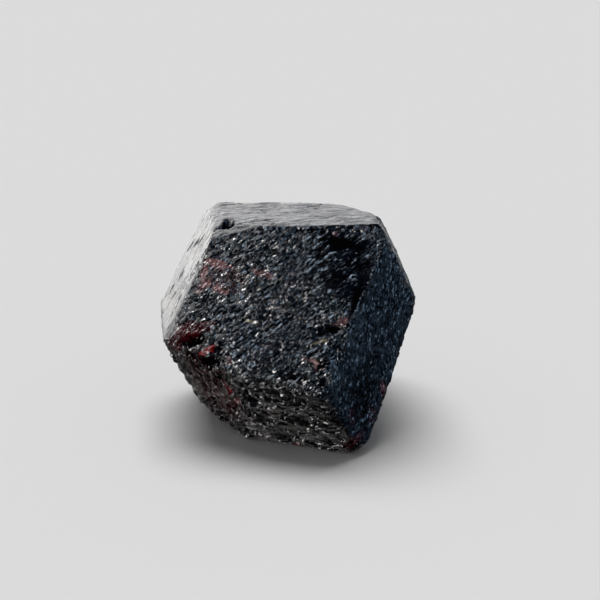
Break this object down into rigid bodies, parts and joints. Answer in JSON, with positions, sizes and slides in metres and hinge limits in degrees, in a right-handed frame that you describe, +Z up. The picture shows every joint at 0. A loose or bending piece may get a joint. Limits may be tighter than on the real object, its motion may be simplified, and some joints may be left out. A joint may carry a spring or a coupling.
{
  "type": "garnet crystal",
  "caption": "Loose dark red-black garnet crystal: a slightly uneven rhombic dodecahedron with etched lozenge faces and worn edges, resting flat on one face.",
  "frame": {"origin": "on the surface that the crystal stands on, below the centre of its bounding box", "axes": "+Z up, out of the resting face; the large etched lozenge face looks towards -Y and up, and +X is to the right of it"},
  "size_m": [0.0382, 0.0396, 0.0323],
  "materials": {
    "garnet_crystal": "glassy to satin near-black almandine, finely etched, with deep red glints at fractures and worn edges"
  },
  "bodies": {
    "root": {"garnet_crystal": "garnet_crystal"}
  },
  "joints": []
}
